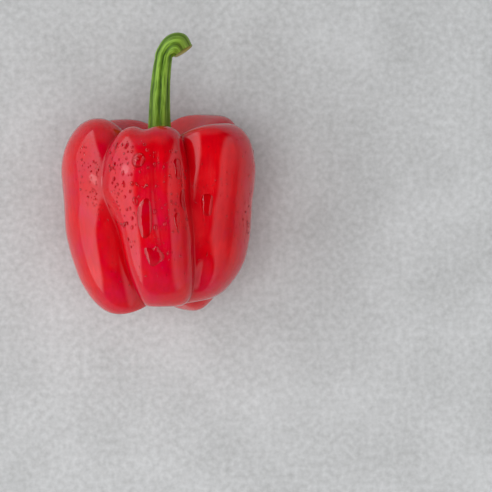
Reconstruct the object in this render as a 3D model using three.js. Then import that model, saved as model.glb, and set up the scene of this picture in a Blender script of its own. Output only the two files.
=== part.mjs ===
// Bell pepper lying on its side: a fruit of five lobes, and the stem that it grew on with its calyx.
// Millimetres, +Z up, +Y from the blossom end towards the stem. The fruit is one solid and the stem is
// another, seated in the hollow between the shoulders with a small gap.
import * as THREE from "three";
import { ParametricGeometry } from "three/addons/geometries/ParametricGeometry.js";

// Fruit. Radii are from the fruit's axis, and heights are along it from the blossom end.
const bellyRadius = 43; // to the fullest point of a lobe
const fruitLength = 85; // from the lobe tips to the shoulders' crowns
const creaseDepth = 6.5; // how far the creases lie inside the lobes at the belly
const creaseFillet = 0.05; // how far a crease is filled, as a share of the lobe's rise over it
const seatDrop = 13.5; // crowns to the floor that the stem grows from
const cavityRadius = 16; // half-way up the shoulders' inner walls
const scarRise = 8; // lobe tips to the scar in the middle of the blossom end
const dishRise = 5.6; // lobe tips to the edge of the dish round the scar
const dishRadius = 7;
const leanDegrees = 5.5; // the lobes taper, so the fruit lies with its stem end a little up
const flatDepth = 0.45; // how far the two lowest lobes are flattened where they rest

// Stem. Its shaft rises straight from the calyx, then hooks round to the right and ends in a cut.
const calyxRadius = 10.2; // to the tips of its points
const calyxPoints = 5;
const calyxNotch = 0.1; // depth of the notches between the points, as a share of the radius
const calyxEdge = 1.1; // thickness at the edge
const calyxGap = 0.3; // clearance under the calyx
const calyxRoom = 0.3; // clearance round the calyx, on the flat part of the seat
const flareHeight = 8; // calyx edge to the plain shaft
const shaftOffset = 0.9; // the calyx's middle is this far right of the fruit's axis
const shaftBaseRadius = 4.65;
const shaftTopRadius = 3.75;
const shaftLength = 40.7; // straight part, from the seat to the hook
const shaftDrift = 1.9; // how far the shaft bends to the right on the way
const swellRadius = 5.4; // of the hook at its thickest
const swellFrom = 0.2; // where the swelling begins and is fullest, as shares of the way round the hook
const swellPlace = 0.78;
const endRadius = 4.6; // of the cut end
const hookRoom = 0.45; // the inside of the hook turns about this small radius
const hookDegrees = 146;
const endSlant = 0.15; // slope of the cut, which faces a little upwards
const endDish = 0.9; // hollow of the cut face
const ribCount = 7;
const ribRise = 0.055; // height of the shaft's ribs, as a share of its radius

const degrees = Math.PI / 180;
const lerp = THREE.MathUtils.lerp;
const smooth = (x, from, to) => THREE.MathUtils.smoothstep(x, from, to);

// The creases' angles round the axis in degrees, 0 straight up and 90 to the right, at equal steps from
// the blossom end to the stem's seat.
const creases = [
  [-20, -20, -23, -32, -36.5, -35.5, -36, -37, -37],
  [46, 44, 33, 26.5, 26.5, 26, 27, 28, 28],
  [98, 98, 100, 104, 102, 96, 92, 92, 92],
  [180, 178, 180, 182, 181, 179, 177, 176, 176],
  [249, 250, 251, 250, 252, 258, 261, 259, 256],
];

// How far each crease is filled at the tip's half and at the shoulder's; less than 0 is deeper.
const creaseFill = [
  [-1.5, 2],
  [-2.5, -3],
  [0, 0],
  [0, 0],
  [0, 0],
];

// One entry for each lobe between a crease and the next, starting with the upper one. belly, shoulder
// and tip are added to the fruit's own radius and heights, tipExtra and crownExtra widen the lobe at its
// two ends, and square says how square its section is at the tip, belly and shoulder.
const lobes = [
  { belly: -1, shoulder: -2, tip: 5.5, tipExtra: 5, crownExtra: 0, square: [4, 2.7, 4] },
  { belly: 0.9, shoulder: -1.5, tip: 7.5, tipExtra: 6.5, crownExtra: 4, square: [2.6, 2.3, 3] },
  { belly: -0.5, shoulder: 1, tip: -2, tipExtra: 4, crownExtra: 5, square: [2.2, 2.2, 3.5] },
  { belly: 0.3, shoulder: -1, tip: 0, tipExtra: 0, crownExtra: 0, square: [2.2, 2.2, 2.6] },
  { belly: -0.4, shoulder: 0.5, tip: 0, tipExtra: 3, crownExtra: 0, square: [2.4, 2.4, 2.4] },
];

// The upper lobe's shoulder dips beside the stem. Its place across the lobe runs from -1 at one crease to
// 1 at the other, its depth is a share of the lobe's rise, and it deepens along v between two places.
const dip = { lobe: 0, place: -0.14, width: 0.24, depth: 0.5, from: 0.54, full: 0.7 };

// Outline of a lobe's ridge and of a crease, from the blossom end to the shoulder: radius as a share of
// its own radius at the belly, and height as a share of its own length.
const ridgeShape = [
  [0.42, -0.03],
  [0.65, 0.07],
  [0.85, 0.215],
  [0.945, 0.4],
  [0.968, 0.56],
  [1.02, 0.73],
  [0.96, 0.895],
  [0.78, 1.01],
  [0.535, 1.02],
];
const creaseShape = [
  [0.39, 0.045],
  [0.65, 0.085],
  [0.85, 0.2],
  [0.945, 0.375],
  [0.995, 0.545],
  [1.01, 0.695],
  [0.965, 0.82],
  [0.81, 0.92],
  [0.61, 0.935],
];
const ridgeWall = 0.5; // height of the cavity's wall at cavityRadius, as a share of the way up
const creaseWall = 0.3;

// Uniform cubic B-spline through a list of numbers, with one more number given before and after it.
function bSpline(values, before, after, t) {
  const spans = values.length - 1;
  const i = Math.min(Math.floor(t * spans), spans - 1);
  const f = t * spans - i;
  const at = (n) => (n < 0 ? before : n > spans ? after : values[n]);
  return (
    ((1 - f) ** 3 * at(i - 1) +
      (3 * f ** 3 - 6 * f ** 2 + 4) * at(i) +
      (-3 * f ** 3 + 3 * f ** 2 + 3 * f + 1) * at(i + 1) +
      f ** 3 * at(i + 2)) /
    6
  );
}

const seatHeight = fruitLength - seatDrop;
const seatRadius = calyxRadius + calyxRoom;
const wallFoot = (cavityRadius + seatRadius) / 2;

// Control points of an outline, from the axis at the blossom end to the axis at the seat.
function outline(shape, wall, { belly, shoulder, tip, tipExtra, crownExtra }) {
  const extra = (h) => tipExtra * THREE.MathUtils.clamp(1 - h, 0, 1) ** 3 + crownExtra * Math.max(h, 0) ** 6;
  return {
    radius: [
      0,
      dishRadius,
      ...shape.map(([r, h]) => r * belly + extra(h)),
      cavityRadius,
      wallFoot,
      seatRadius,
      seatRadius / 2,
      0,
    ],
    height: [
      scarRise,
      dishRise,
      ...shape.map(([, h]) => lerp(tip, shoulder, h)),
      lerp(seatHeight, shoulder, wall),
      seatHeight,
      seatHeight,
      seatHeight,
      seatHeight,
    ],
  };
}

const ridges = lobes.map((lobe) => {
  const own = { belly: bellyRadius + lobe.belly, shoulder: fruitLength + lobe.shoulder };
  return outline(ridgeShape, ridgeWall, { ...lobe, ...own });
});
const creaseSizes = { belly: bellyRadius - creaseDepth, shoulder: fruitLength, tip: 0 };
const creaseOutline = outline(creaseShape, creaseWall, { ...creaseSizes, tipExtra: 0, crownExtra: 0 });

// A point of an outline, with its ends mirrored in the axis so that the skin is smooth there.
function along({ radius, height }, v) {
  const last = radius.length - 1;
  return [
    bSpline(radius, -radius[1], -radius[last - 1], v),
    bSpline(height, height[1], height[last - 1], v),
  ];
}

// The skin, where u runs once round the fruit from the first crease and v from the scar to the seat.
// Across a lobe, s goes from -1 to 1, and the lobe rises over its creases by 1 - |s|^square.
function skinPoint(u, v, target) {
  const turn = (u % 1) * lobes.length;
  const i = Math.floor(turn);
  const s = Math.sin((turn - i - 0.5) * Math.PI); // closer steps towards the creases
  const from = creases[i];
  const to = i + 1 < creases.length ? creases[i + 1] : creases[0].map((a) => a + 360);
  const start = bSpline(from, from[0], from[from.length - 1], v);
  const end = bSpline(to, to[0], to[to.length - 1], v);
  const angle = lerp(start, end, (s + 1) / 2) * degrees;

  const [tipSquare, bellySquare, shoulderSquare] = lobes[i].square;
  const tipToBelly = lerp(tipSquare, bellySquare, smooth(v, 0.15, 0.4));
  const square = lerp(tipToBelly, shoulderSquare, smooth(v, 0.45, 0.62));
  let rise = 1 - Math.abs(s) ** square;
  if (i === dip.lobe) {
    const depth = dip.depth * smooth(v, dip.from, dip.full);
    rise -= depth * Math.exp(-(((s - dip.place) / dip.width) ** 2));
  }
  rise = Math.hypot(rise, creaseFillet);

  const [ridgeRadius, ridgeHeight] = along(ridges[i], v);
  const [creaseRadius, creaseHeight] = along(creaseOutline, v);
  const fillOf = (crease) => lerp(...creaseFill[crease % creaseFill.length], smooth(v, 0.34, 0.46));
  const fillEnds = smooth(v, 0.05, 0.2) * (1 - smooth(v, 0.54, 0.66)); // none at the scar and in the hollow
  const fill = lerp(fillOf(i), fillOf(i + 1), (s + 1) / 2) * fillEnds;
  const radius = lerp(creaseRadius + fill, ridgeRadius, rise);
  const height = lerp(creaseHeight, ridgeHeight, rise);
  return target.set(radius * Math.sin(angle), height, radius * Math.cos(angle));
}

// The stem, where u runs once round it and v from the middle of the calyx's underside to the middle of
// the cut end. Each station is the v where one stretch ends and the next begins.
const stations = { underside: 0.1, edge: 0.17, flare: 0.32, shaft: 0.66, hook: 0.92 };
const flarePower = 2.2; // how quickly the calyx draws in to the shaft
const part = (v, from, to) => (v - from) / (to - from);

// How far the shaft's centre is to the right of the axis at a height over the seat.
function shaftCentre(height) {
  const share = Math.max(0, part(height, flareHeight, shaftLength));
  return shaftOffset + shaftDrift * share ** 3;
}

function stemPoint(u, v, target) {
  const angle = (u % 1) * 2 * Math.PI;
  const rim = calyxRadius * (1 - (calyxNotch * (1 - Math.cos(calyxPoints * angle))) / 2);
  const ribs = 1 + ribRise * Math.cos(ribCount * angle);
  const base = seatHeight + calyxGap;
  const half = calyxEdge / 2;
  const { underside, edge, flare, shaft, hook } = stations;
  const ring = (radius, height) =>
    target.set(shaftCentre(height) + radius * Math.sin(angle), base + height, radius * Math.cos(angle));
  if (v <= underside) return ring((rim - half) * part(v, 0, underside), 0);
  if (v <= edge) {
    const roll = part(v, underside, edge) * Math.PI;
    return ring(rim - half + half * Math.sin(roll), half * (1 - Math.cos(roll)));
  }
  if (v <= flare) {
    const t = part(v, edge, flare);
    const radius = lerp(rim - half, shaftBaseRadius * ribs, 1 - (1 - t) ** flarePower);
    return ring(radius, lerp(calyxEdge, flareHeight, t));
  }
  if (v <= shaft) {
    const t = part(v, flare, shaft);
    return ring(lerp(shaftBaseRadius, shaftTopRadius, t) * ribs, lerp(flareHeight, shaftLength, t));
  }

  // The hook turns about a pivot on the shaft's right, and its rings all pass outside that pivot.
  const t = Math.min(part(v, shaft, hook), 1);
  const turn = t * hookDegrees * degrees;
  const swelling = lerp(shaftTopRadius, swellRadius, smooth(t, swellFrom, swellPlace));
  const swell = lerp(swelling, endRadius, smooth(t, swellPlace, 1));
  const across = swell * (1 + ribRise) + hookRoom;
  const pivot = shaftCentre(shaftLength) + shaftTopRadius * (1 + ribRise) + hookRoom;
  const end = Math.max(0, part(v, hook, 1)); // how far across the cut end
  const radius = swell * ribs * (1 - end);
  const out = radius * Math.sin(angle) - across;
  const up = radius * Math.cos(angle);
  const back = endDish * Math.sin((end * Math.PI) / 2) + endSlant * up * smooth(t, swellPlace / 2, 1);
  return target.set(
    pivot + out * Math.cos(turn) - back * Math.sin(turn),
    base + shaftLength - out * Math.sin(turn) - back * Math.cos(turn),
    up,
  );
}

function closedSurface(name, point, slices, stacks, material) {
  const mesh = new THREE.Mesh(new ParametricGeometry(point, slices, stacks), material);
  mesh.name = name;
  return mesh;
}

const skinMaterial = new THREE.MeshStandardMaterial({ color: 0xc40a12, roughness: 0.25, metalness: 0 });
const stemMaterial = new THREE.MeshStandardMaterial({ color: 0x5c8a22, roughness: 0.55, metalness: 0 });
const fruit = closedSurface("fruit", skinPoint, 80, 44, skinMaterial);
const stem = closedSurface("stem", stemPoint, 35, 44, stemMaterial);

// Lean the fruit back, then press the lowest lobes flat against the surface that it rests on.
const pepper = new THREE.Group();
pepper.name = "bell_pepper";
for (const mesh of [fruit, stem]) {
  mesh.geometry.rotateX(leanDegrees * degrees);
  pepper.add(mesh);
}
const position = fruit.geometry.getAttribute("position");
fruit.geometry.computeBoundingBox();
const restHeight = fruit.geometry.boundingBox.min.z + flatDepth;
for (let i = 0; i < position.count; i++) {
  position.setZ(i, Math.max(position.getZ(i), restHeight));
}
fruit.geometry.computeVertexNormals();

// The origin is on the resting surface, under the middle of the whole pepper.
const middle = new THREE.Box3().setFromObject(pepper).getCenter(new THREE.Vector3());
pepper.position.set(-middle.x, -middle.y, -restHeight);

export default pepper;
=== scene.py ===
import math

import bpy
import numpy as np
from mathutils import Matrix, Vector


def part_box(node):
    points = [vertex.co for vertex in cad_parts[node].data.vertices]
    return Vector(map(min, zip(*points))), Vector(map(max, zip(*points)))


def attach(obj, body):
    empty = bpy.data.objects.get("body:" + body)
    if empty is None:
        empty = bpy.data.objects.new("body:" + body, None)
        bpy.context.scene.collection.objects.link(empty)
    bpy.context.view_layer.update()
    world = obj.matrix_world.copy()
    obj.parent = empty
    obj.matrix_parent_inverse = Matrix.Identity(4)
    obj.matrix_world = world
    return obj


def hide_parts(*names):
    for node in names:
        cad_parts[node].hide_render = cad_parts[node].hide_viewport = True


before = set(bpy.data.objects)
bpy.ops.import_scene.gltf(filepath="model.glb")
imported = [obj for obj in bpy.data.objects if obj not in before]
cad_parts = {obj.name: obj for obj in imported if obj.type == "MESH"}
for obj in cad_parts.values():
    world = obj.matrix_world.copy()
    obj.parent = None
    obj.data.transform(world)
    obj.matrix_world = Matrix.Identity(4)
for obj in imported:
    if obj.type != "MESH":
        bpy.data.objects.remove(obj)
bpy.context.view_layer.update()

mm = 0.001
scene = bpy.context.scene
scene.view_settings.view_transform = "Standard"
print("frame loaded")


def srgb(hexColour):
    # each channel: c / 12.92 below 0.04045, else ((c + 0.055) / 1.055) ^ 2.4
    channels = [int(hexColour[i:i + 2], 16) / 255 for i in (1, 3, 5)]
    linear = [c / 12.92 if c <= 0.04045 else ((c + 0.055) / 1.055) ** 2.4 for c in channels]
    return (*linear, 1.0)


def addNode(tree, kind, settings=None, links=None):
    # settings: property or socket -> value, links: socket -> the output that feeds it;
    # a ramp's stops are (place, sRGB hex or share of white), in rising order
    node = tree.nodes.new(kind)
    for name, value in (settings or {}).items():
        if name == "stops":
            elements = node.color_ramp.elements
            while len(elements) < len(value):
                elements.new(1)
            for element, (place, tone) in zip(elements, value):
                element.position = place
                element.color = srgb(tone) if isinstance(tone, str) else (tone, tone, tone, 1)
        elif isinstance(name, str) and hasattr(node, name):
            setattr(node, name, value)
        else:
            node.inputs[name].default_value = value
    for name, source in (links or {}).items():
        tree.links.new(source, node.inputs[name])
    return node


def newMaterial(name):
    material = bpy.data.materials.new(name)
    material.use_nodes = True
    material.node_tree.nodes.clear()
    return material, material.node_tree


def mix(a, b, t):
    # from a to b in a straight line: a + (b - a) t
    return a + (b - a) * t


def smoothStep(x, low, high):
    # 3t^2 - 2t^3, where t runs from 0 at low to 1 at high
    t = np.clip((x - low) / (high - low), 0, 1)
    return t * t * (3 - 2 * t)


def bSpline(rows, row, t):
    # uniform cubic B-spline: four neighbouring control values, weighted by the blending cubics
    spans = rows.shape[1] - 3
    i = np.clip(np.floor(t * spans).astype(int), 0, spans - 1)
    f = t * spans - i
    return (
        (1 - f) ** 3 * rows[row, i]
        + (3 * f ** 3 - 6 * f ** 2 + 4) * rows[row, i + 1]
        + (-3 * f ** 3 + 3 * f ** 2 + 3 * f + 1) * rows[row, i + 2]
        + f ** 3 * rows[row, i + 3]
    ) / 6


def waves(points, lengths, seed):
    # sum of sines, one for each wavelength, in random directions and phases; about -1 to 1
    draw = np.random.default_rng(seed)
    total = np.zeros(points.shape[:-1])
    for length in lengths:
        direction = draw.normal(size=3)
        direction /= np.linalg.norm(direction)
        total += np.sin(points @ direction * (2 * math.pi / length) + draw.uniform(0, 2 * math.pi))
    return total / math.sqrt(2 * len(lengths))


def closedGrid(name, points):
    # points[column, row]: columns go once round, and the first and last row are single points
    columns, rows = points.shape[:2]
    body = points[:, 1:-1].reshape(-1, 3)
    first, last = len(body), len(body) + 1
    vertices = np.concatenate([body, points[:1, 0], points[:1, -1]])
    inner = rows - 2
    c = np.arange(columns)[:, None]
    r = np.arange(inner - 1)[None, :]
    here, beside = c * inner + r, (c + 1) % columns * inner + r
    quads = np.stack([here, beside, beside + 1, here + 1], -1).reshape(-1, 4)
    c = np.arange(columns)
    start, nextStart = c * inner, (c + 1) % columns * inner
    fans = np.concatenate([
        np.stack([np.full(columns, first), nextStart, start], -1),
        np.stack([start + inner - 1, nextStart + inner - 1, np.full(columns, last)], -1),
    ])
    mesh = bpy.data.meshes.new(name)
    mesh.from_pydata(vertices.tolist(), [], quads.tolist() + fans.tolist())
    mesh.shade_smooth()
    mesh.validate()
    piece = bpy.data.objects.new(name, mesh)
    scene.collection.objects.link(piece)
    return piece


def pointValues(piece, name, values):
    # values[column, row] of a closed grid, kept in its vertex order
    flat = np.concatenate([values[:, 1:-1].ravel(), values[:1, 0], values[:1, -1]])
    attribute = piece.data.attributes.new(name, "FLOAT", "POINT")
    attribute.data.foreach_set("value", flat.astype(np.float32))


# The camera looks straight down on the pepper from about 0.93 m, with the pepper up and to the left
view = dict(x=38.5, y=-32.0, height=934.0, acrossAtAxis=219.2, axisHeight=34.0)  # mm
camera = bpy.data.objects.new("camera", bpy.data.cameras.new("camera"))
camera.location = (view["x"] * mm, view["y"] * mm, view["height"] * mm)
camera.data.lens = camera.data.sensor_width * (view["height"] - view["axisHeight"]) / view["acrossAtAxis"]
camera.data.clip_start = 0.01
scene.collection.objects.link(camera)
scene.camera = camera


# Fruit: millimetres, radii from the fruit's axis, heights along it from the blossom end
fruitSizes = dict(
    belly=43.0, length=85.0, creaseDepth=6.5, creaseFillet=0.045, seatDrop=13.5, seatRadius=10.5,
    cavityRadius=16.0, ridgeWall=0.5, creaseWall=0.3, scarRise=8.0, dishRise=5.6, dishRadius=7.0,
    lean=5.5, flatDepth=0.45, groundEdge=0.12, undulation=0.35, undulationLengths=(22, 26, 31, 36, 43, 52),
    ripple=0.06, rippleLengths=(9, 10.5, 12, 13.5, 15, 17), columnsPerLobe=88,
    rowStops=(0, 0.1, 0.62, 0.8, 1), rowCounts=(20, 130, 46, 19),
)
creases = [  # degrees round the axis, 0 up and 90 right, from the blossom end to the seat; mm added
    dict(angles=[-20, -20, -23, -32, -36.5, -35.5, -36, -37, -37], fill=(-4.5, 2.0)),
    dict(angles=[46, 44, 33, 26.5, 26.5, 26, 27, 28, 28], fill=(0.5, -3)),
    dict(angles=[98, 98, 100, 104, 102, 96, 92, 92, 92], fill=(0, 0)),
    dict(angles=[180, 178, 180, 182, 181, 179, 177, 176, 176], fill=(0, 0)),
    dict(angles=[249, 250, 251, 250, 252, 258, 261, 259, 256], fill=(0, 0)),
]
lobes = [  # upper, right, lower right, lower left, left
    dict(belly=-1, shoulder=-2, tip=5.5, tipExtra=5, crownExtra=0, square=(4, 2.7, 4)),
    dict(belly=0.9, shoulder=-1.5, tip=7.5, tipExtra=6.5, crownExtra=4, square=(2.6, 2.3, 3)),
    dict(belly=-0.5, shoulder=1, tip=-2, tipExtra=4, crownExtra=5, square=(2.2, 2.2, 3.5)),
    dict(belly=0.3, shoulder=-1, tip=0, tipExtra=0, crownExtra=0, square=(2.2, 2.2, 2.6)),
    dict(belly=-0.4, shoulder=0.5, tip=0, tipExtra=3, crownExtra=0, square=(2.4, 2.4, 2.4)),
]
ridgeShape = [  # radius as a share of the belly's, height as a share of the length
    (0.42, -0.03), (0.65, 0.07), (0.85, 0.215), (0.945, 0.4), (0.968, 0.56),
    (1.02, 0.73), (0.96, 0.895), (0.78, 1.01), (0.535, 1.02),
]
creaseShape = [
    (0.39, 0.045), (0.65, 0.085), (0.85, 0.2), (0.945, 0.375), (0.995, 0.545),
    (1.01, 0.695), (0.965, 0.82), (0.81, 0.92), (0.61, 0.935),
]
furrows = [  # lobe, place across it, width as a share of the lobe, depth as a share of the crease, v's
    dict(lobe=0, place=-0.14, width=0.24, depth=0.5, rises=(0.54, 0.7), falls=(2, 3)),
    dict(lobe=0, place=0.17, width=0.1, depth=0.14, rises=(0.27, 0.38), falls=(0.5, 0.6)),
]
dents = [  # lobe, place across it, v along it, half-widths across and along, depth in mm
    dict(lobe=1, place=-0.84, v=0.262, across=0.12, along=0.035, depth=1.6),
    dict(lobe=4, place=0.62, v=0.515, across=0.22, along=0.02, depth=0.4),
]


def outline(shape, wall, belly, shoulder, tip, tipExtra=0.0, crownExtra=0.0):
    # control radii and heights from the axis at the scar to the axis at the seat, ends mirrored in it
    sizes = fruitSizes
    share, h = np.array(shape).T
    seat = sizes["length"] - sizes["seatDrop"]
    extra = tipExtra * np.clip(1 - h, 0, 1) ** 3 + crownExtra * np.maximum(h, 0) ** 6
    foot = (sizes["cavityRadius"] + sizes["seatRadius"]) / 2
    radius = [0, sizes["dishRadius"], *(share * belly + extra), sizes["cavityRadius"], foot,
              sizes["seatRadius"], sizes["seatRadius"] / 2, 0]
    height = [sizes["scarRise"], sizes["dishRise"], *mix(tip, shoulder, h), mix(seat, shoulder, wall),
              seat, seat, seat, seat]
    return [-radius[1], *radius, -radius[-2]], [height[1], *height, height[-2]]


ridges = [
    outline(ridgeShape, fruitSizes["ridgeWall"], fruitSizes["belly"] + lobe["belly"],
            fruitSizes["length"] + lobe["shoulder"], lobe["tip"], lobe["tipExtra"], lobe["crownExtra"])
    for lobe in lobes
]
ridgeRadii, ridgeHeights = np.array([r[0] for r in ridges]), np.array([r[1] for r in ridges])
creaseRadii, creaseHeights = [
    np.array([row]) for row in
    outline(creaseShape, fruitSizes["creaseWall"], fruitSizes["belly"] - fruitSizes["creaseDepth"],
            fruitSizes["length"], 0)
]
fills = np.array([crease["fill"] for crease in [*creases, creases[0]]], float)
angleRows = np.array([[row["angles"][0], *row["angles"], row["angles"][-1]] for row in creases], float)
angleRows = np.concatenate([angleRows, angleRows[:1] + 360])
lobeSquares = np.array([lobe["square"] for lobe in lobes], float)
lean = math.radians(fruitSizes["lean"])


def leaned(points):
    # turn about X by the lean: y' = y cos - z sin, z' = y sin + z cos
    x, y, z = points[..., 0], points[..., 1], points[..., 2]
    return np.stack([x, y * math.cos(lean) - z * math.sin(lean), y * math.sin(lean) + z * math.cos(lean)], -1)


def skinAt(u, v):
    # a point between the crease's outline and the ridge's, by rise = 1 - |s|^square less the furrows,
    # rounded in the crease as sqrt(rise^2 + fillet^2); then dents and undulation move it along its radius
    turn = (u % 1) * len(lobes)
    lobe = np.minimum(turn.astype(int), len(lobes) - 1)
    s = np.sin((turn - lobe - 0.5) * math.pi)
    angle = np.radians(mix(bSpline(angleRows, lobe, v), bSpline(angleRows, lobe + 1, v), (s + 1) / 2))
    tipSquare, bellySquare, shoulderSquare = np.moveaxis(lobeSquares[lobe], -1, 0)
    square = mix(tipSquare, bellySquare, smoothStep(v, 0.15, 0.4))
    square = mix(square, shoulderSquare, smoothStep(v, 0.45, 0.62))
    rise = 1 - np.abs(s) ** square
    for furrow in furrows:
        depth = furrow["depth"] * smoothStep(v, *furrow["rises"]) * (1 - smoothStep(v, *furrow["falls"]))
        beside = (s - furrow["place"]) / furrow["width"]
        rise = rise - (lobe == furrow["lobe"]) * depth * np.exp(-(beside ** 2))
    rise = np.hypot(rise, fruitSizes["creaseFillet"])
    first = np.zeros_like(lobe)
    fill = mix(fills[lobe], fills[lobe + 1], ((s + 1) / 2)[..., None])
    fill = mix(fill[..., 0], fill[..., 1], smoothStep(v, 0.34, 0.46))
    fill = fill * smoothStep(v, 0.05, 0.2) * (1 - smoothStep(v, 0.54, 0.66))
    radius = mix(bSpline(creaseRadii, first, v) + fill, bSpline(ridgeRadii, lobe, v), rise)
    height = mix(bSpline(creaseHeights, first, v), bSpline(ridgeHeights, lobe, v), rise)
    for dent in dents:
        near = ((s - dent["place"]) / dent["across"]) ** 2 + ((v - dent["v"]) / dent["along"]) ** 2
        radius = radius - (lobe == dent["lobe"]) * dent["depth"] * np.exp(-near)
    points = np.stack([radius * np.sin(angle), height, radius * np.cos(angle)], -1)
    swell = waves(points, fruitSizes["undulationLengths"], seed=7) * fruitSizes["undulation"]
    swell = swell + waves(points, fruitSizes["rippleLengths"], seed=19) * fruitSizes["ripple"]
    swell = swell * smoothStep(v, 0.02, 0.12) * (1 - smoothStep(v, 0.62, 0.72))
    points = points * (1 + (swell / np.maximum(radius, 10))[..., None] * [1, 0, 1])
    return leaned(points) * mm


def steps(stops, counts):
    # from each stop to the next in its own number of equal steps
    parts = [np.linspace(a, b, n, endpoint=False) for a, b, n in zip(stops, stops[1:], counts)]
    return np.concatenate([*parts, [stops[-1]]])


lobeColumns = fruitSizes["columnsPerLobe"]
uFruit = (np.arange(lobeColumns * len(lobes)) / (lobeColumns * len(lobes)))[:, None]
vFruit = steps(fruitSizes["rowStops"], fruitSizes["rowCounts"])[None, :]
uGrid, vGrid = np.broadcast_arrays(uFruit, vFruit)
rawSkin = skinAt(uGrid, vGrid)

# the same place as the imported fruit: middles of the boxes together, lowest lobes pressed on the ground
low, high = (np.array(corner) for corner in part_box("fruit"))
rawLow, rawHigh = rawSkin.reshape(-1, 3).min(0), rawSkin.reshape(-1, 3).max(0)
offset = (low + high - rawLow - rawHigh) / 2
offset[2] = -rawLow[2] - fruitSizes["flatDepth"] * mm


def placed(points):
    # into the frame; z is rounded off at the ground as (z + sqrt(z^2 + e^2)) / 2
    points = points + offset
    edge = fruitSizes["groundEdge"] * mm
    points[..., 2] = (points[..., 2] + np.hypot(points[..., 2], edge)) / 2
    return points


skinPoints = placed(rawSkin)
fruit = closedGrid("fruit_skin", skinPoints)
# values for the material: crease (1 at the bottom of a crease), along (0 at the blossom end, 1 in the seat)
turn = uGrid * len(lobes)
across = np.sin((turn - np.floor(turn) - 0.5) * math.pi)
pointValues(fruit, "crease", np.abs(across) ** 6)
pointValues(fruit, "along", vGrid.copy())
print("fruit:", skinPoints.reshape(-1, 3).min(0).round(4), skinPoints.reshape(-1, 3).max(0).round(4))


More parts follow.
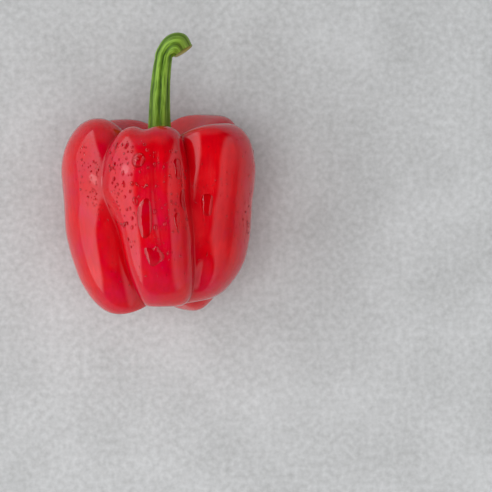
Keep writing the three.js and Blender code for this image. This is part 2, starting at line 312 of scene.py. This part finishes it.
def pepperSkin():
    # ripe pepper skin, smooth under its own thin wax: a sharp, clear gloss over deep red flesh that shows
    # through in soft patches; plant wax has an IOR near 1.5 and a roughness near 0.1
    look = dict(
        deep="#A00008", crimson="#CC0032", full="#D00012", bright="#E40410", scar="#7E4C28", wet="#780004",
        patch=28.0, mottle=5.0, streak=1.6, peel=1.3, peelHeight=0.006, fleshDepth=2.0,  # mm
        streakSquash=0.12, mottleShare=0.3, streakShare=0.22, creaseShadeShare=0.55, peelStrength=0.5,
        scarFull=0.032, scarEnd=0.04, scarRagged=0.02, wetShadeShare=0.25,
        ior=1.5, mirror=0.52, rough=0.115, smoother=0.04, rougher=0.06, fleshShare=0.03,
    )
    material, tree = newMaterial("pepper_skin_waxed")
    place = addNode(tree, "ShaderNodeTexCoord").outputs["Object"]
    patches = addNode(tree, "ShaderNodeTexNoise", {"Scale": 1000 / look["patch"], "Detail": 2.0},
                      {"Vector": place})
    mottle = addNode(tree, "ShaderNodeTexNoise", {"Scale": 1000 / look["mottle"], "Detail": 3.0},
                     {"Vector": place})
    both = addNode(tree, "ShaderNodeMix", {"data_type": "FLOAT", "Factor": look["mottleShare"]},
                   {"A": patches.outputs["Fac"], "B": mottle.outputs["Fac"]})
    tones = [(0.32, look["crimson"]), (0.5, look["full"]), (0.68, look["bright"])]
    body = addNode(tree, "ShaderNodeValToRGB", {"stops": tones}, {"Fac": both.outputs["Result"]})
    # fine streaks, drawn out along the fruit
    drawn = addNode(tree, "ShaderNodeMapping", {"Scale": (1.0, look["streakSquash"], 1.0)}, {"Vector": place})
    streaks = addNode(tree, "ShaderNodeTexNoise", {"Scale": 1000 / look["streak"], "Detail": 3.0},
                      {"Vector": drawn.outputs["Vector"]})
    streaked = addNode(tree, "ShaderNodeMapRange",
                       {"From Min": 0.35, "From Max": 0.65, "To Min": 0.0, "To Max": look["streakShare"]},
                       {"Value": streaks.outputs["Fac"]})
    body = addNode(tree, "ShaderNodeMix", {"data_type": "RGBA", 7: srgb(look["deep"])},
                   {"Factor": streaked.outputs[0], 6: body.outputs["Color"]})
    # painted shade: a deeper red down in the creases, where shade falls
    crease = addNode(tree, "ShaderNodeAttribute", {"attribute_name": "crease"}).outputs["Fac"]
    paintedCreaseShade = addNode(tree, "ShaderNodeMath", {"operation": "MULTIPLY", 1: look["creaseShadeShare"]}, {0: crease})
    toned = addNode(tree, "ShaderNodeMix", {"data_type": "RGBA", 7: srgb(look["deep"])},
                    {"Factor": paintedCreaseShade.outputs[0], 6: body.outputs[2]})
    # a small brown scar at the blossom end, with a ragged edge
    along = addNode(tree, "ShaderNodeAttribute", {"attribute_name": "along"}).outputs["Fac"]
    ragged = addNode(tree, "ShaderNodeMath", {"operation": "MULTIPLY_ADD", 1: look["scarRagged"]},
                     {0: mottle.outputs["Fac"], 2: along})
    scar = addNode(tree, "ShaderNodeMapRange",
                   {"From Min": look["scarFull"], "From Max": look["scarEnd"], "To Min": 1.0, "To Max": 0.0},
                   {"Value": ragged.outputs[0]})
    coloured = addNode(tree, "ShaderNodeMix", {"data_type": "RGBA", 7: srgb(look["scar"])},
                       {"Factor": scar.outputs[0], 6: toned.outputs[2]})
    peel = addNode(tree, "ShaderNodeTexNoise", {"Scale": 1000 / look["peel"], "Detail": 2.0},
                   {"Vector": place})
    bump = addNode(tree, "ShaderNodeBump",
                   {"Strength": look["peelStrength"], "Distance": look["peelHeight"] * mm},
                   {"Height": peel.outputs["Fac"]})
    rough = addNode(tree, "ShaderNodeMapRange",
                    {"From Min": 0.3, "From Max": 0.7, "To Min": look["rough"] - look["smoother"],
                     "To Max": look["rough"] + look["rougher"]},
                    {"Value": mottle.outputs["Fac"]})
    # under water the wax's mirror goes, since the two bend light nearly alike
    seenWet = addNode(tree, "ShaderNodeLightPath").outputs["Is Transmission Ray"]
    mirror = addNode(tree, "ShaderNodeMapRange", {"To Min": look["mirror"], "To Max": 0.0},
                     {"Value": seenWet})
    # painted shade: where the skin is seen through water, its colour is pulled towards a darker red
    paintedWetShade = addNode(tree, "ShaderNodeMath", {"operation": "MULTIPLY", 1: look["wetShadeShare"]}, {0: seenWet})
    final = addNode(tree, "ShaderNodeMix", {"data_type": "RGBA", 7: srgb(look["wet"])},
                    {"Factor": paintedWetShade.outputs[0], 6: coloured.outputs[2]})
    # the flesh scatters red furthest, then green, then blue
    shader = addNode(tree, "ShaderNodeBsdfPrincipled", {
        "IOR": look["ior"], "Subsurface Weight": look["fleshShare"], "Subsurface Radius": (1.0, 0.12, 0.06),
        "Subsurface Scale": look["fleshDepth"] * mm,
    }, {"Base Color": final.outputs[2], "Roughness": rough.outputs[0], "Normal": bump.outputs["Normal"],
        "Specular IOR Level": mirror.outputs[0]})
    addNode(tree, "ShaderNodeOutputMaterial", links={"Surface": shader.outputs["BSDF"]})
    return material


fruit.data.materials.append(pepperSkin())
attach(fruit, "root")
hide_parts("fruit")


# Water: drops, thin films and beads lie on the skin; radii and heights in millimetres, and the drops, beads
# and films are each so many columns round and rings out
waterSizes = dict(
    contactDegrees=68.0, rimSink=0.05, filmHeight=0.7, drops=(28, 9), beads=(10, 4), films=(60, 12),
    apart=0.3, seed=41,
)
largeDrops = [  # turn round the fruit, place along it, half-width, half-length, lean from the fruit's length
    (0.091, 0.508, 3.0, 3.4, 25), (0.073, 0.544, 1.0, 1.7, 20), (0.082, 0.54, 0.7, 0.8, 0),
    (0.082, 0.528, 0.7, 0.8, 0), (0.102, 0.532, 0.8, 0.9, 0), (0.111, 0.528, 0.7, 0.8, 0),
    (0.111, 0.5, 0.9, 1.1, 10), (0.075, 0.512, 0.6, 0.7, 0), (0.07, 0.48, 0.8, 1.2, 10),
    (0.082, 0.476, 0.6, 0.8, 0), (0.07, 0.456, 0.8, 1.6, -5), (0.082, 0.456, 1.0, 1.1, 0),
    (0.055, 0.452, 0.6, 0.7, 0), (0.059, 0.436, 0.7, 0.8, 0), (0.07, 0.428, 0.6, 0.8, 0),
    (0.084, 0.418, 1.3, 2.0, -20), (0.107, 0.396, 1.0, 1.1, 0), (0.105, 0.36, 1.2, 1.3, 0),
    (0.118, 0.368, 1.0, 1.2, 40), (0.136, 0.4, 0.8, 0.8, 0), (0.073, 0.36, 0.7, 1.0, 15),
    (0.07, 0.4, 0.6, 0.8, 0), (0.061, 0.336, 0.7, 0.9, 0), (0.352, 0.475, 1.6, 1.6, 0),
]
wetFilms = [  # turn, place along, then the corners of its edge, clockwise: right and up in mm
    (0.093, 0.378, ((1.0, 9.4), (2.4, 7.4), (3.3, 2.8), (3.3, -2.8), (2.4, -6.8), (-1.2, -9.4), (-2.7, -5.2),
                    (-3.6, 0.5), (-3.1, 5.7), (-0.8, 8.4))),
    (0.0955, 0.3, ((-2.3, 3.4), (-0.2, 2.4), (1.4, 5.4), (2.4, 2.2), (4.7, 0.6), (4.7, -2.3), (1.7, -4.0),
                   (-1.4, -6.6), (-3.6, -0.6), (-4.6, 3.3))),
    (0.152, 0.428, ((-1.5, 3.7), (1.7, 4.7), (1.1, 1.0), (1.1, -1.5), (2.6, -5.9), (0.4, -4.8), (-1.6, -2.3),
                    (-2.0, 1.1))),
    (0.137, 0.372, ((-1.4, 4.4), (1.3, 4.7), (1.7, 0.8), (1.1, -2.0), (1.4, -5.1), (-0.2, -3.7), (-1.1, -0.3),
                    (-1.9, 2.1))),
    (0.243, 0.412, ((-2.7, 5.2), (2.9, 4.9), (2.3, 0.0), (2.5, -5.3), (-2.1, -4.8), (-2.6, 0.0))),
    (0.143, 0.492, ((-2.8, 4.0), (0.4, 5.2), (2.6, 2.9), (1.4, 0.2), (2.8, -2.7), (0.7, -5.4), (-1.7, -2.9),
                    (-1.0, 0.2))),
]
beadPatches = [  # how many, turns from and to, places along from and to, smallest and largest radius
    (120, 0.04, 0.1, 0.36, 0.56, 0.32, 1.0), (30, 0.1, 0.118, 0.3, 0.54, 0.3, 0.75),
    (90, 0.12, 0.165, 0.36, 0.55, 0.28, 0.75), (40, 0.06, 0.14, 0.24, 0.36, 0.26, 0.6),
    (80, 0.93, 0.975, 0.38, 0.54, 0.26, 0.6), (30, 0.945, 0.985, 0.24, 0.38, 0.22, 0.4),
    (100, 0.215, 0.31, 0.3, 0.47, 0.26, 0.6), (26, 0.23, 0.33, 0.46, 0.56, 0.24, 0.5),
]


def onSkin(turn, along, right, up):
    # the skin's point that lies right and up by these lengths in its tangent plane, and its normal:
    # two equations in the steps of turn and along, from the skin's slopes there
    step = 1e-3  # of a turn, and of the length
    slopeU = (skinAt(turn + step, along) - skinAt(turn - step, along)) / (2 * step)
    slopeV = (skinAt(turn, along + step) - skinAt(turn, along - step)) / (2 * step)
    normal = np.cross(slopeU, slopeV)
    normal /= np.linalg.norm(normal, axis=-1, keepdims=True)
    length = np.array([0.0, 1.0, 0.0]) - normal * normal[..., 1:2]
    length /= np.linalg.norm(length, axis=-1, keepdims=True)
    side = np.cross(length, normal)
    offsetTo = (right[..., None] * side + up[..., None] * length) * mm
    uu, uv, vv = [(a * b).sum(-1) for a, b in ((slopeU, slopeU), (slopeU, slopeV), (slopeV, slopeV))]
    bu, bv = (offsetTo * slopeU).sum(-1), (offsetTo * slopeV).sum(-1)
    whole = uu * vv - uv * uv
    stepU, stepV = (bu * vv - bv * uv) / whole, (bv * uu - bu * uv) / whole
    return placed(skinAt(turn + stepU, along + stepV)), normal


def capsMesh(name, points, rimFrom):
    # points[cap, column, ring]: ring 0 is the top, one point, and the last ring is the rim, closed below;
    # the rim value goes from rimFrom on top to 1 at the rim
    caps, columns, rings = points.shape[:3]
    body = points[:, :, 1:].reshape(-1, 3)
    tops = points[:, 0, 0]
    inner = rings - 1
    cap = np.arange(caps)[:, None, None] * columns * inner
    c, r = np.arange(columns)[None, :, None], np.arange(inner - 1)[None, None, :]
    here, beside = cap + c * inner + r, cap + (c + 1) % columns * inner + r
    quads = np.stack([here, here + 1, beside + 1, beside], -1).reshape(-1, 4)
    c = np.arange(columns)[None, :]
    here, beside = cap[..., 0] + c * inner, cap[..., 0] + (c + 1) % columns * inner
    top = len(body) + np.arange(caps)[:, None] + 0 * here
    fans = np.stack([top, here, beside], -1).reshape(-1, 3)
    rims = (here + inner - 1)[:, ::-1]
    mesh = bpy.data.meshes.new(name)
    faces = quads.tolist() + fans.tolist() + rims.tolist()
    mesh.from_pydata(np.concatenate([body, tops]).tolist(), [], faces)
    mesh.shade_smooth()
    mesh.set_sharp_from_angle(angle=math.radians(50))  # keeps the flat underside out of the cap's shading
    share = np.concatenate([np.tile(np.arange(1, rings) / inner, caps * columns), np.zeros(caps)])
    share = rimFrom + (1 - rimFrom) * share
    mesh.attributes.new("rim", "FLOAT", "POINT").data.foreach_set("value", share.astype(np.float32))
    piece = bpy.data.objects.new(name, mesh)
    scene.collection.objects.link(piece)
    return piece


def dropPoints(turn, along, halfWidth, halfLength, leanDegrees, columns, rings):
    # spherical caps, stretched to an ellipse: share of radius sin(a) / sin(contact),
    # height R (cos(a) - cos(contact)), where R = r / sin(contact)
    contact = math.radians(waterSizes["contactDegrees"])
    around = (np.arange(columns) / columns * 2 * math.pi)[None, :, None]
    a = (np.arange(rings + 1) / rings * contact)[None, None, :]
    share = np.sin(a) / math.sin(contact)
    turn, along, halfWidth, halfLength, leanDegrees = [
        np.asarray(values, float)[:, None, None]
        for values in (turn, along, halfWidth, halfLength, leanDegrees)
    ]
    x, y = halfWidth * share * np.cos(around), halfLength * share * np.sin(around)
    tilt = np.radians(leanDegrees)
    right, up = x * np.cos(tilt) + y * np.sin(tilt), y * np.cos(tilt) - x * np.sin(tilt)
    height = np.sqrt(halfWidth * halfLength) / math.sin(contact) * (np.cos(a) - math.cos(contact))
    turn, along = turn + 0 * right, along + 0 * right
    skin, normal = onSkin(turn, along, right, up)
    height = height - waterSizes["rimSink"] * share ** 8
    return skin + normal * height[..., None] * mm


def filmPoints(turn, along, corners, columns, rings):
    # a film: its edge is a closed curve by its corners, and its height is H (1 - share^3)
    closed = np.array([corners[0], *corners[::-1], *corners[:-3:-1]], float).T
    t = np.arange(columns) / columns
    right, up = [bSpline(closed, np.full(columns, row), t)[:, None] for row in (0, 1)]
    share = (1 - (1 - np.arange(rings + 1) / rings) ** 1.5)[None, :]
    right, up = right * share, up * share
    height = waterSizes["filmHeight"] * (1 - share ** 3) - waterSizes["rimSink"] * share ** 8
    skin, normal = onSkin(turn + 0 * right, along + 0 * right, right, up)
    return skin + normal * height[..., None] * mm


drops = capsMesh("water_drops", dropPoints(*zip(*largeDrops), *waterSizes["drops"]), 0.2)
filmGrids = [filmPoints(turn, along, corners, *waterSizes["films"]) for turn, along, corners in wetFilms]
films = capsMesh("water_films", np.array(filmGrids), 0.0)
draw = np.random.default_rng(waterSizes["seed"])
wetPlaces = np.concatenate([np.array([v.co for v in piece.data.vertices]) for piece in (drops, films)])
beadRows = []
for count, turnFrom, turnTo, alongFrom, alongTo, small, large in beadPatches:
    sizes = small + (large - small) * draw.random(count) ** 3
    turns, alongs = draw.uniform(turnFrom, turnTo, count), draw.uniform(alongFrom, alongTo, count)
    longer, leans = sizes * draw.uniform(1.0, 1.25, count), draw.uniform(-30, 30, count)
    # a bead that would touch a drop or a film has run into it, so it is left out
    middles = placed(skinAt(turns, alongs))
    apart = np.linalg.norm(middles[:, None] - wetPlaces, axis=-1).min(1) > (sizes + waterSizes["apart"]) * mm
    beadRows.append(np.stack([turns, alongs, sizes, longer, leans])[:, apart])
beads = capsMesh("water_beads", dropPoints(*np.concatenate(beadRows, 1), *waterSizes["beads"]), 0.5)


def clearWater():
    # water: perfectly smooth, IOR 1.333, with no colour of its own; it shows by small mirrored lights and the
    # wet skin seen through it, and a painted shade tints it from near white on top to dark red at the rim,
    # where light is turned away
    look = dict(
        top="#FFF8F6", flank="#FFE8E4", rim="#B01C1C", flankPlace=0.55, ior=1.333,
        sparkle=0.35, sparkleIor=1.7, sparkleRough=0.03,  # a coat that stands for the light a drop gathers
        ripple=1.4286, rippleHeight=0.05, rippleStrength=0.15,  # mm
    )
    material, tree = newMaterial("water_clear")
    place = addNode(tree, "ShaderNodeTexCoord").outputs["Object"]
    ripple = addNode(tree, "ShaderNodeTexNoise", {"Scale": 1000 / look["ripple"], "Detail": 1.0},
                     {"Vector": place})
    bump = addNode(tree, "ShaderNodeBump",
                   {"Strength": look["rippleStrength"], "Distance": look["rippleHeight"] * mm},
                   {"Height": ripple.outputs["Fac"]})
    rim = addNode(tree, "ShaderNodeAttribute", {"attribute_name": "rim"}).outputs["Fac"]
    # painted shade: near white on top, darkening to a dark red at the rim
    tones = [(0.0, look["top"]), (look["flankPlace"], look["flank"]), (1.0, look["rim"])]
    paintedRimShade = addNode(tree, "ShaderNodeValToRGB", {"stops": tones}, {"Fac": rim})
    water = addNode(tree, "ShaderNodeBsdfPrincipled",
                    {"Roughness": 0.0, "IOR": look["ior"], "Transmission Weight": 1.0,
                     "Coat Weight": look["sparkle"], "Coat IOR": look["sparkleIor"],
                     "Coat Roughness": look["sparkleRough"]},
                    {"Base Color": paintedRimShade.outputs["Color"], "Normal": bump.outputs["Normal"]})
    # light reaches the skin below as if the water were not there
    through = addNode(tree, "ShaderNodeBsdfTransparent")
    shadow = addNode(tree, "ShaderNodeLightPath").outputs["Is Shadow Ray"]
    both = addNode(tree, "ShaderNodeMixShader",
                   links={0: shadow, 1: water.outputs["BSDF"], 2: through.outputs["BSDF"]})
    addNode(tree, "ShaderNodeOutputMaterial", links={"Surface": both.outputs["Shader"]})
    return material


water = clearWater()
for piece in (drops, films, beads):
    piece.data.materials.append(water)
    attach(piece, "root")
beadCount = sum(rows.shape[1] for rows in beadRows)
print("water:", len(largeDrops), "drops,", len(wetFilms), "films,", beadCount, "beads")


# Stem: millimetres; heights are from the underside of its calyx
stemSizes = dict(
    calyx=10.2, points=5, notch=0.1, edge=1.1, gap=0.3, flare=8.0, flarePower=2.2, offset=0.9,
    base=4.95, top=3.75, length=40.7, drift=1.9, swell=5.4, swellFrom=0.2, swellPlace=0.78, end=4.6,
    room=0.45, hook=146.0, slant=0.15, dish=1.3, rim=0.22, ribs=7, rib=0.06, ribTurn=-24.0, ribCrest=6.0,
    ribUpper=0.4, ribEnd=0.4, fibre=0.008, fibres=35, columns=210,
)


def stemPoints():
    # rings about the axis for the calyx, along the shaft's bend, then turned about the hook's pivot
    z = stemSizes
    half = z["edge"] / 2
    under = np.linspace(0, 1, 14)
    roll, flare, shaft, hook, cut = [np.linspace(0, full, count)[1:] for full, count in
                                     ((math.pi, 14), (1, 50), (1, 110), (1, 110), (1, 30))]
    angle = (np.arange(z["columns"]) / z["columns"] * 2 * math.pi)[:, None]
    seat = fruitSizes["length"] - fruitSizes["seatDrop"] + z["gap"]
    rim = z["calyx"] * (1 - z["notch"] * (1 - np.cos(z["points"] * angle)) / 2)
    # ribs: rounded ridges with sharp furrows between, as 2 |cos| - 1, and fine fibres on them
    wave = 2 * np.abs(np.cos((angle - math.radians(z["ribTurn"])) * z["ribs"] / 2)) - 1
    upper = 1 - z["ribUpper"] + z["ribUpper"] * np.cos(angle - math.radians(z["ribCrest"]))
    ribs = 1 + z["rib"] * upper * wave + z["fibre"] * np.cos(z["fibres"] * angle + 2 * wave)

    def centre(height):
        share = np.maximum(0, (height - z["flare"]) / (z["length"] - z["flare"]))
        return z["offset"] + z["drift"] * share ** 3

    def rings(radius, height):
        radius, height = np.broadcast_arrays(radius, height)
        return np.stack([centre(height) + radius * np.sin(angle), seat + height, radius * np.cos(angle)], -1)

    calyx = rings((rim - half) * under, 0 * under)
    edge = rings(rim - half + half * np.sin(roll), half * (1 - np.cos(roll)))
    drawIn = mix(rim - half, z["base"] * ribs, 1 - (1 - flare) ** z["flarePower"])
    neck = rings(drawIn, mix(z["edge"], z["flare"], flare))
    straight = rings(mix(z["base"], z["top"], shaft) * ribs, mix(z["flare"], z["length"], shaft))

    def hooked(t, end):
        turn = t * math.radians(z["hook"])
        swell = mix(z["top"], z["swell"], smoothStep(t, z["swellFrom"], z["swellPlace"]))
        swell = mix(swell, z["end"], smoothStep(t, z["swellPlace"], 1))
        reach = swell * (1 + z["rib"]) + z["room"]
        pivot = centre(np.array(z["length"])) + z["top"] * (1 + z["rib"]) + z["room"]
        plainer = mix(ribs, 1 + z["ribEnd"] * (ribs - 1), smoothStep(t, z["swellPlace"] / 2, 1))
        radius = swell * plainer * (1 - end)
        out = radius * np.sin(angle) - reach
        up = radius * np.cos(angle)
        slanted = z["slant"] * up * smoothStep(t, z["swellPlace"] / 2, 1)
        back = z["dish"] * smoothStep(end, 0, z["rim"] * 2) + slanted
        return np.stack([
            pivot + out * np.cos(turn) - back * np.sin(turn),
            seat + z["length"] - out * np.sin(turn) - back * np.cos(turn),
            up + 0 * turn,
        ], -1)

    bend = hooked(hook, 0 * hook)
    face = hooked(0 * cut + 1, cut)
    bodyRings = [calyx, edge, neck, straight, bend]
    return np.concatenate([*bodyRings, face], 1), sum(part.shape[1] for part in bodyRings), wave * upper


rawStem, cutStart, ribWave = stemPoints()
stemGrid = leaned(rawStem) * mm + offset
stem = closedGrid("stem_and_calyx", stemGrid)
# values for the material: rib (0 in a furrow, 1 on a ridge), length in mm, share of the way over the cut
ringLength = np.concatenate([[0], np.cumsum(np.linalg.norm(np.diff(rawStem[0], axis=0), axis=1))])
ringCut = np.clip((np.arange(rawStem.shape[1]) - cutStart + 1) / (rawStem.shape[1] - cutStart), 0, 1)
stemTurn = np.arange(stemSizes["columns"])[:, None] / stemSizes["columns"] * 2 * math.pi
whole = np.ones(rawStem.shape[:2])
stemValues = dict(rib=(ribWave + 1) / 2 * whole, length=ringLength * whole, cut=ringCut * whole,
                  roundX=np.cos(stemTurn) * whole, roundY=np.sin(stemTurn) * whole)
for name, values in stemValues.items():
    pointValues(stem, name, values)
print("stem:", stemGrid.reshape(-1, 3).min(0).round(4), stemGrid.reshape(-1, 3).max(0).round(4))


def stemGreen():
    # green stem bark, dried a little since it was cut: satin, with fibres that run its length, and painted
    # light and shade make it pale on its ridges and dark in its furrows; plant tissue has an IOR near 1.45
    # and a roughness near 0.4
    look = dict(
        furrow="#2E480C", body="#587A1B", ridge="#8AAE40", fresh="#7FAE2A", dry="#7C7A38", pith="#6A5C30",
        fibreRing="#A8A060", heart="#4A3C20",
        fibreWide=0.8, fibreLong=7.0, patch=6.25, fibreHeight=0.12,  # mm
        fibreShare=0.45, patchShare=0.2, fibreStrength=0.6, freshShare=0.55, freshFrom=14.0, freshTo=34.0,
        dryShare=0.45, dryFrom=60.0, dryTo=72.0,
        ior=1.45, mirror=0.3, rough=0.42, smoother=0.08, rougher=0.12,
    )
    material, tree = newMaterial("stem_green_fibrous")
    value = {name: addNode(tree, "ShaderNodeAttribute", {"attribute_name": name}).outputs["Fac"]
             for name in stemValues}
    radius = stemSizes["base"]
    around = [
        addNode(tree, "ShaderNodeMath", {"operation": "MULTIPLY", 1: radius / look["fibreWide"]},
                {0: value[name]})
        for name in ("roundX", "roundY")
    ]
    onward = addNode(tree, "ShaderNodeMath", {"operation": "MULTIPLY", 1: 1 / look["fibreLong"]},
                     {0: value["length"]})
    lie = addNode(tree, "ShaderNodeCombineXYZ",
                  links={0: around[0].outputs[0], 1: around[1].outputs[0], 2: onward.outputs[0]})
    fibres = addNode(tree, "ShaderNodeTexNoise", {"Scale": 1.0, "Detail": 3.0}, {"Vector": lie.outputs[0]})
    place = addNode(tree, "ShaderNodeTexCoord").outputs["Object"]
    patches = addNode(tree, "ShaderNodeTexNoise", {"Scale": 1000 / look["patch"], "Detail": 2.0},
                      {"Vector": place})
    # tone: mostly the rib, painted shade dark in the furrows and painted light pale on the ridges, then the
    # fibres, a little by patches
    strong = addNode(tree, "ShaderNodeMapRange", {"From Min": 0.34, "From Max": 0.66},
                     {"Value": fibres.outputs["Fac"]})
    toned = addNode(tree, "ShaderNodeMix", {"data_type": "FLOAT", "Factor": look["fibreShare"]},
                    {"A": value["rib"], "B": strong.outputs[0]})
    toned = addNode(tree, "ShaderNodeMix", {"data_type": "FLOAT", "Factor": look["patchShare"]},
                    {"A": toned.outputs["Result"], "B": patches.outputs["Fac"]})
    tones = [(0.26, look["furrow"]), (0.5, look["body"]), (0.78, look["ridge"])]
    bark = addNode(tree, "ShaderNodeValToRGB", {"stops": tones}, {"Fac": toned.outputs["Result"]})
    # fresher towards the fruit, drier towards the cut
    low = addNode(tree, "ShaderNodeMapRange",
                  {"From Min": look["freshFrom"], "From Max": look["freshTo"], "To Min": look["freshShare"],
                   "To Max": 0.0}, {"Value": value["length"]})
    bark = addNode(tree, "ShaderNodeMix", {"data_type": "RGBA", 7: srgb(look["fresh"])},
                   {"Factor": low.outputs[0], 6: bark.outputs["Color"]})
    tip = addNode(tree, "ShaderNodeMapRange",
                  {"From Min": look["dryFrom"], "From Max": look["dryTo"], "To Min": 0.0,
                   "To Max": look["dryShare"]}, {"Value": value["length"]})
    bark = addNode(tree, "ShaderNodeMix", {"data_type": "RGBA", 7: srgb(look["dry"])},
                   {"Factor": tip.outputs[0], 6: bark.outputs[2]})
    # the cut: a pale ring of fibres, then the pith, dark in the middle
    tones = [(0.0, look["dry"]), (0.12, look["fibreRing"]), (0.3, look["dry"]), (0.6, look["pith"]),
             (1.0, look["heart"])]
    face = addNode(tree, "ShaderNodeValToRGB", {"stops": tones}, {"Fac": value["cut"]})
    onFace = addNode(tree, "ShaderNodeMapRange", {"From Min": 0.01, "From Max": 0.06},
                     {"Value": value["cut"]})
    coloured = addNode(tree, "ShaderNodeMix", {"data_type": "RGBA"},
                       {"Factor": onFace.outputs[0], 6: bark.outputs[2], 7: face.outputs["Color"]})
    bump = addNode(tree, "ShaderNodeBump",
                   {"Strength": look["fibreStrength"], "Distance": look["fibreHeight"] * mm},
                   {"Height": fibres.outputs["Fac"]})
    rough = addNode(tree, "ShaderNodeMapRange",
                    {"From Min": 0.3, "From Max": 0.7, "To Min": look["rough"] - look["smoother"],
                     "To Max": look["rough"] + look["rougher"]},
                    {"Value": fibres.outputs["Fac"]})
    shader = addNode(tree, "ShaderNodeBsdfPrincipled",
                     {"IOR": look["ior"], "Specular IOR Level": look["mirror"]},
                     {"Base Color": coloured.outputs[2], "Roughness": rough.outputs[0],
                      "Normal": bump.outputs["Normal"]})
    addNode(tree, "ShaderNodeOutputMaterial", links={"Surface": shader.outputs["BSDF"]})
    return material


stem.data.materials.append(stemGreen())
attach(stem, "root")
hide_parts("stem")


# Floor, light and air
def paperFloor():
    # plain pale paper board: matt and faintly mottled, with a fine tooth; its roughness is near 0.9
    look = dict(
        shade="#AFAFAE", light="#CFCFCF", tooth=2.6316, broad=40.0, toothHeight=0.1,  # mm
        broadShare=0.4, toothStrength=0.3, rough=0.9, ior=1.4,
    )
    material, tree = newMaterial("floor_pale_paper")
    place = addNode(tree, "ShaderNodeTexCoord").outputs["Object"]
    fine = addNode(tree, "ShaderNodeTexNoise", {"Scale": 1000 / look["tooth"], "Detail": 4.0},
                   {"Vector": place})
    broad = addNode(tree, "ShaderNodeTexNoise", {"Scale": 1000 / look["broad"], "Detail": 2.0},
                    {"Vector": place})
    both = addNode(tree, "ShaderNodeMix", {"data_type": "FLOAT", "Factor": look["broadShare"]},
                   {"A": fine.outputs["Fac"], "B": broad.outputs["Fac"]})
    body = addNode(tree, "ShaderNodeValToRGB", {"stops": [(0.3, look["shade"]), (0.7, look["light"])]},
                   {"Fac": both.outputs["Result"]})
    bump = addNode(tree, "ShaderNodeBump",
                   {"Strength": look["toothStrength"], "Distance": look["toothHeight"] * mm},
                   {"Height": fine.outputs["Fac"]})
    shader = addNode(tree, "ShaderNodeBsdfPrincipled", {"Roughness": look["rough"], "IOR": look["ior"]},
                     {"Base Color": body.outputs["Color"], "Normal": bump.outputs["Normal"]})
    addNode(tree, "ShaderNodeOutputMaterial", links={"Surface": shader.outputs["BSDF"]})
    return material


floorHalf = 1.5  # m
floorMesh = bpy.data.meshes.new("floor")
floorMesh.from_pydata([(-floorHalf, -floorHalf, 0), (floorHalf, -floorHalf, 0), (floorHalf, floorHalf, 0),
                       (-floorHalf, floorHalf, 0)], [], [(0, 1, 2, 3)])
floor = bpy.data.objects.new("floor", floorMesh)
scene.collection.objects.link(floor)
floorMesh.materials.append(paperFloor())

# Soft studio light: a dark ceiling, and a bright wall of cloth on each side, brightest on the left
airSides = [  # direction, strength, and its share at each cosine of the angle from that direction
    ((-1.0, 0.08, 0.0), 1.95, ((0.46, 0.0), (0.6, 1.0), (0.8, 0.85), (1.0, 0.6))),
    ((1.0, -0.25, 0.0), 0.85, ((0.48, 0.0), (0.66, 1.0), (0.9, 0.6), (1.0, 0.2))),
    ((-0.4, -0.9, 0.0), 0.2, ((0.55, 0.0), (0.88, 1.0))),
    ((-0.1, 1.0, 0.0), 0.36, ((0.7, 0.0), (0.95, 1.0))),
]
ceiling = 0.01  # strength overhead, where no wall shines
airColour = "#F6FBFF"
world = bpy.data.worlds.new("studio_air")
scene.world = world
world.use_nodes = True
airTree = world.node_tree
airTree.nodes.clear()
airPlace = addNode(airTree, "ShaderNodeTexCoord").outputs["Generated"]
airTone = addNode(airTree, "ShaderNodeValue")
airTone.outputs[0].default_value = ceiling
airTone = airTone.outputs[0]
for towards, strength, stops in airSides:
    amount = addNode(airTree, "ShaderNodeVectorMath",
                     {"operation": "DOT_PRODUCT", 1: Vector(towards).normalized()}, {0: airPlace})
    glow = addNode(airTree, "ShaderNodeValToRGB", {"stops": stops}, {"Fac": amount.outputs["Value"]})
    glow.color_ramp.interpolation = "EASE"
    airTone = addNode(airTree, "ShaderNodeMath", {"operation": "MULTIPLY_ADD", 1: strength},
                      {0: glow.outputs["Color"], 2: airTone}).outputs[0]
airShade = addNode(airTree, "ShaderNodeBackground", {"Color": srgb(airColour)}, {"Strength": airTone})
addNode(airTree, "ShaderNodeOutputWorld", links={"Surface": airShade.outputs["Background"]})
# a sheet of cloth overhead lights the floor and fills the shadows, without a mirror image in the skin;
# a small bright window on the left gives the highlights
lampRows = [  # name, place (m), width and height (m), watts, seen in mirrors
    ("top_sheet", (-0.02, -0.25, 1.13), (1.0, 1.0), 9.2, False),
    ("left_window", (-0.84, 0.1, 0.74), (0.22, 0.34), 0.45, True),
]
for name, at, (width, height), watts, mirrored in lampRows:
    light = bpy.data.lights.new(name, "AREA")
    light.shape = "ELLIPSE"
    light.size, light.size_y, light.energy = width, height, watts
    lamp = bpy.data.objects.new(name, light)
    lamp.location = at
    lamp.rotation_euler = Vector(at).to_track_quat("Z", "Y").to_euler()
    lamp.visible_glossy = lamp.visible_transmission = mirrored
    scene.collection.objects.link(lamp)
print("stage and light ready")
